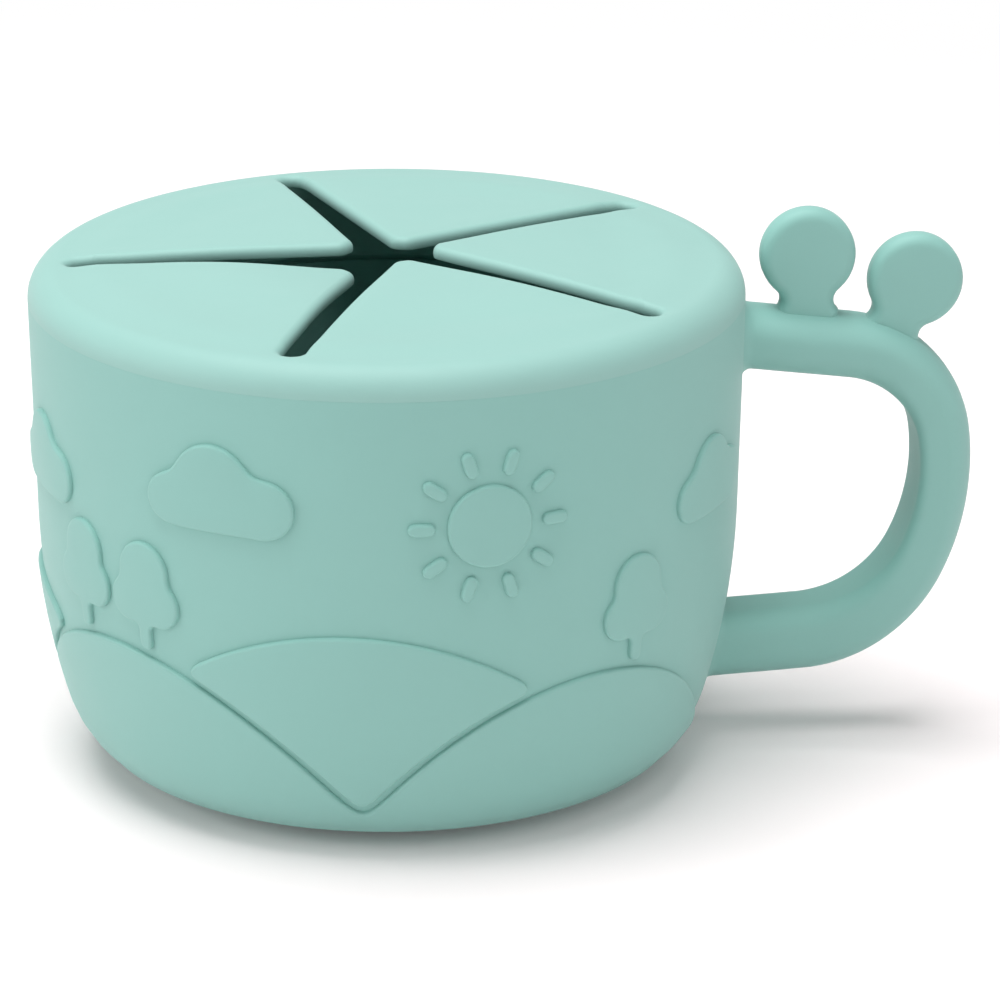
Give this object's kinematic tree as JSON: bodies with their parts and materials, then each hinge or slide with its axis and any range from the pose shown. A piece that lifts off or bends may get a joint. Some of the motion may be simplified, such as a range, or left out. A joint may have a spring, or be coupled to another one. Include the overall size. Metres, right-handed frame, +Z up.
{
  "type": "toddler snack container",
  "caption": "Round-bottomed soft cup with a loop handle and a plug-in lid whose top is cut into flaps that a small hand reaches through.",
  "frame": {"origin": "the cup's axis at the flat foot, on the surface that it stands on", "axes": "+Z up along the cup's axis, +X out along the handle"},
  "size_m": [0.1203, 0.0909, 0.0698],
  "materials": {
    "cup_silicone": "matt, smooth moulded silicone",
    "lid_silicone": "matt, smooth moulded silicone"
  },
  "bodies": {
    "cup": {"cup_shell": "cup_silicone", "handle_loop": "cup_silicone", "handle_knob_inner": "cup_silicone", "handle_knob_outer": "cup_silicone", "relief_hills": "cup_silicone", "relief_sun": "cup_silicone", "relief_clouds": "cup_silicone", "relief_trees": "cup_silicone"},
    "lid": {"lid_ring": "lid_silicone", "lid_plug": "lid_silicone"},
    "flap_one": {"flap_1": "lid_silicone"},
    "flap_two": {"flap_2": "lid_silicone"},
    "flap_three": {"flap_3": "lid_silicone"},
    "flap_four": {"flap_4": "lid_silicone"},
    "flap_five": {"flap_5": "lid_silicone"}
  },
  "joints": [
    {"name": "lid_lift", "type": "slide", "parent": "cup", "child": "lid", "axis": [0, 0, 1], "range_m": [0, 0.04]},
    {"name": "flap_one_bend", "type": "hinge", "parent": "lid", "child": "flap_one", "pos_m": [0.01093, 0.02789, 0.0642], "axis": [-0.9311, 0.3649, 0], "range_deg": [-70, 45], "stiffness_Nm_per_rad": 0.02},
    {"name": "flap_two_bend", "type": "hinge", "parent": "lid", "child": "flap_two", "pos_m": [-0.02315, 0.01901, 0.0642], "axis": [-0.6347, -0.7727, 0], "range_deg": [-70, 45], "stiffness_Nm_per_rad": 0.02},
    {"name": "flap_three_bend", "type": "hinge", "parent": "lid", "child": "flap_three", "pos_m": [-0.02523, -0.01614, 0.0642], "axis": [0.5388, -0.8425, 0], "range_deg": [-70, 45], "stiffness_Nm_per_rad": 0.02},
    {"name": "flap_four_bend", "type": "hinge", "parent": "lid", "child": "flap_four", "pos_m": [0.00755, -0.02899, 0.0642], "axis": [0.9677, 0.2521, 0], "range_deg": [-70, 45], "stiffness_Nm_per_rad": 0.02},
    {"name": "flap_five_bend", "type": "hinge", "parent": "lid", "child": "flap_five", "pos_m": [0.0299, -0.00178, 0.0642], "axis": [0.0593, 0.9982, 0], "range_deg": [-70, 45], "stiffness_Nm_per_rad": 0.02}
  ]
}
